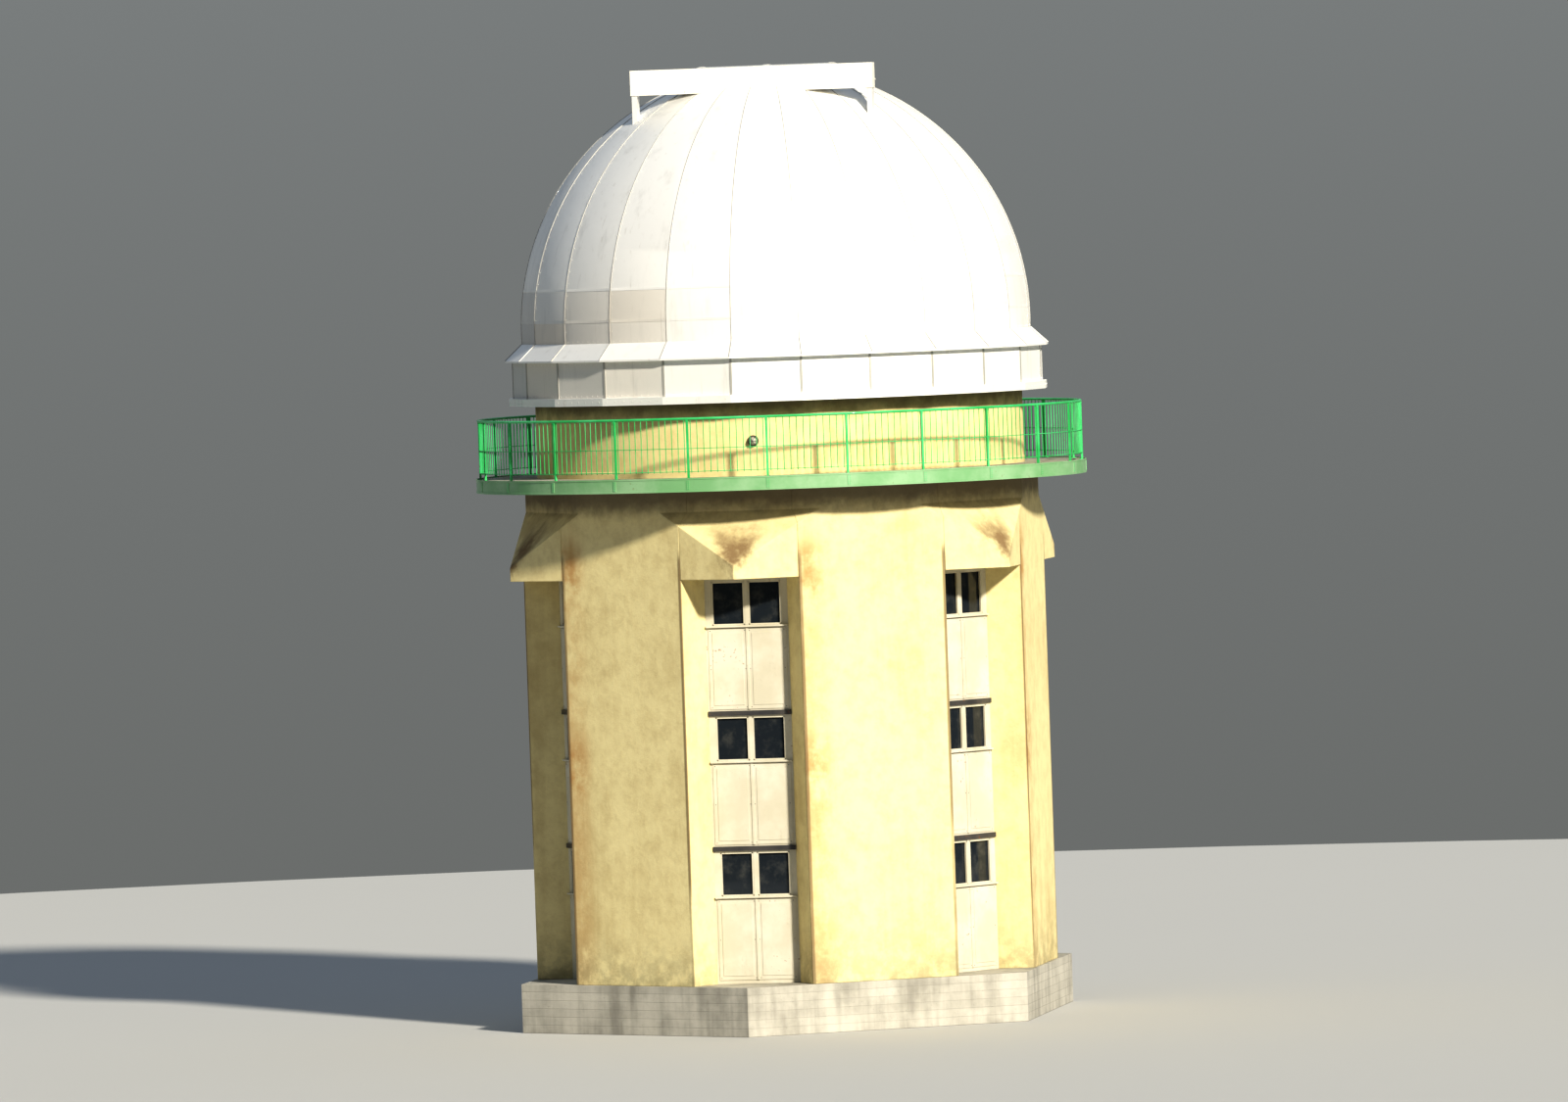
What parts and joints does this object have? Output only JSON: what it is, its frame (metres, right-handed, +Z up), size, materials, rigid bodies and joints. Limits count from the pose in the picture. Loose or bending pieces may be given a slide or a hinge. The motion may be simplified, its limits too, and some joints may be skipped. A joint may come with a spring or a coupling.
{
  "type": "observatory tower with a turning dome",
  "caption": "Six-sided rendered tower with corner window bays, a railed balcony and a round drum that carries a turning metal dome with a slit and parting shutters.",
  "frame": {"origin": "ground level on the tower's axis, at the middle of the underside", "axes": "+Z up the tower; -Y is the front, where a window bay faces; +Y is the rear, with the entrance bay and, at rest, the dome's slit; +X is to the right as the front is seen"},
  "size_m": [11.9606, 11.9606, 18.6878],
  "materials": {
    "wall_render": "weathered cream render",
    "concrete": "bare cast concrete",
    "window_paint": "white paint",
    "window_glass": "clear glass",
    "door_paint": "grey paint",
    "green_paint": "gloss green paint",
    "drum_render": "yellow ochre render",
    "dark_steel": "dark oily paint",
    "dome_sheet": "dull rolled sheet"
  },
  "bodies": {
    "tower": {"pier_1": "wall_render", "pier_2": "wall_render", "pier_3": "wall_render", "pier_4": "wall_render", "pier_5": "wall_render", "pier_6": "wall_render", "lintel_1": "wall_render", "lintel_2": "wall_render", "lintel_3": "wall_render", "lintel_4": "wall_render", "lintel_5": "wall_render", "lintel_6": "wall_render", "plinth": "concrete", "ground_floor": "concrete", "storey_floor_1": "concrete", "storey_floor_2": "concrete", "observing_floor": "concrete", "balcony_slab": "concrete", "window_frame_1": "window_paint", "window_frame_2": "window_paint", "window_frame_3": "window_paint", "window_frame_4": "window_paint", "window_frame_5": "window_paint", "window_frame_6": "window_paint", "window_glass_1": "window_glass", "window_glass_2": "window_glass", "window_glass_3": "window_glass", "window_glass_4": "window_glass", "window_glass_5": "window_glass", "window_glass_6": "window_glass", "entrance_door": "door_paint", "balcony_fascia": "green_paint", "railing_1": "green_paint", "railing_2": "green_paint", "railing_3": "green_paint", "railing_4": "green_paint", "drum_wall_1": "drum_render", "drum_wall_2": "drum_render", "drum_wall_3": "drum_render", "drum_wall_4": "drum_render", "drum_wall_5": "drum_render", "drum_wall_6": "drum_render", "drum_lamp": "dark_steel", "roller_track": "dark_steel"},
    "dome": {"dome_base_ring": "dark_steel", "dome_skirt": "dome_sheet", "dome_shell_right": "dome_sheet", "dome_shell_left": "dome_sheet", "slit_arch_right": "dome_sheet", "slit_arch_left": "dome_sheet", "rear_shutter_beam": "dome_sheet", "foot_shutter_beam": "dome_sheet"},
    "shutter_right": {"shutter_right": "dome_sheet"},
    "shutter_left": {"shutter_left": "dome_sheet"}
  },
  "joints": [
    {"name": "dome_turn", "type": "hinge", "parent": "tower", "child": "dome", "pos_m": [0, 0, 13.175], "axis": [0, 0, 1], "continuous": true},
    {"name": "shutter_right_slide", "type": "slide", "parent": "dome", "child": "shutter_right", "axis": [1, 0, 0], "range_m": [0, 1.09]},
    {"name": "shutter_left_slide", "type": "slide", "parent": "dome", "child": "shutter_left", "axis": [-1, 0, 0], "range_m": [0, 1.09]}
  ]
}
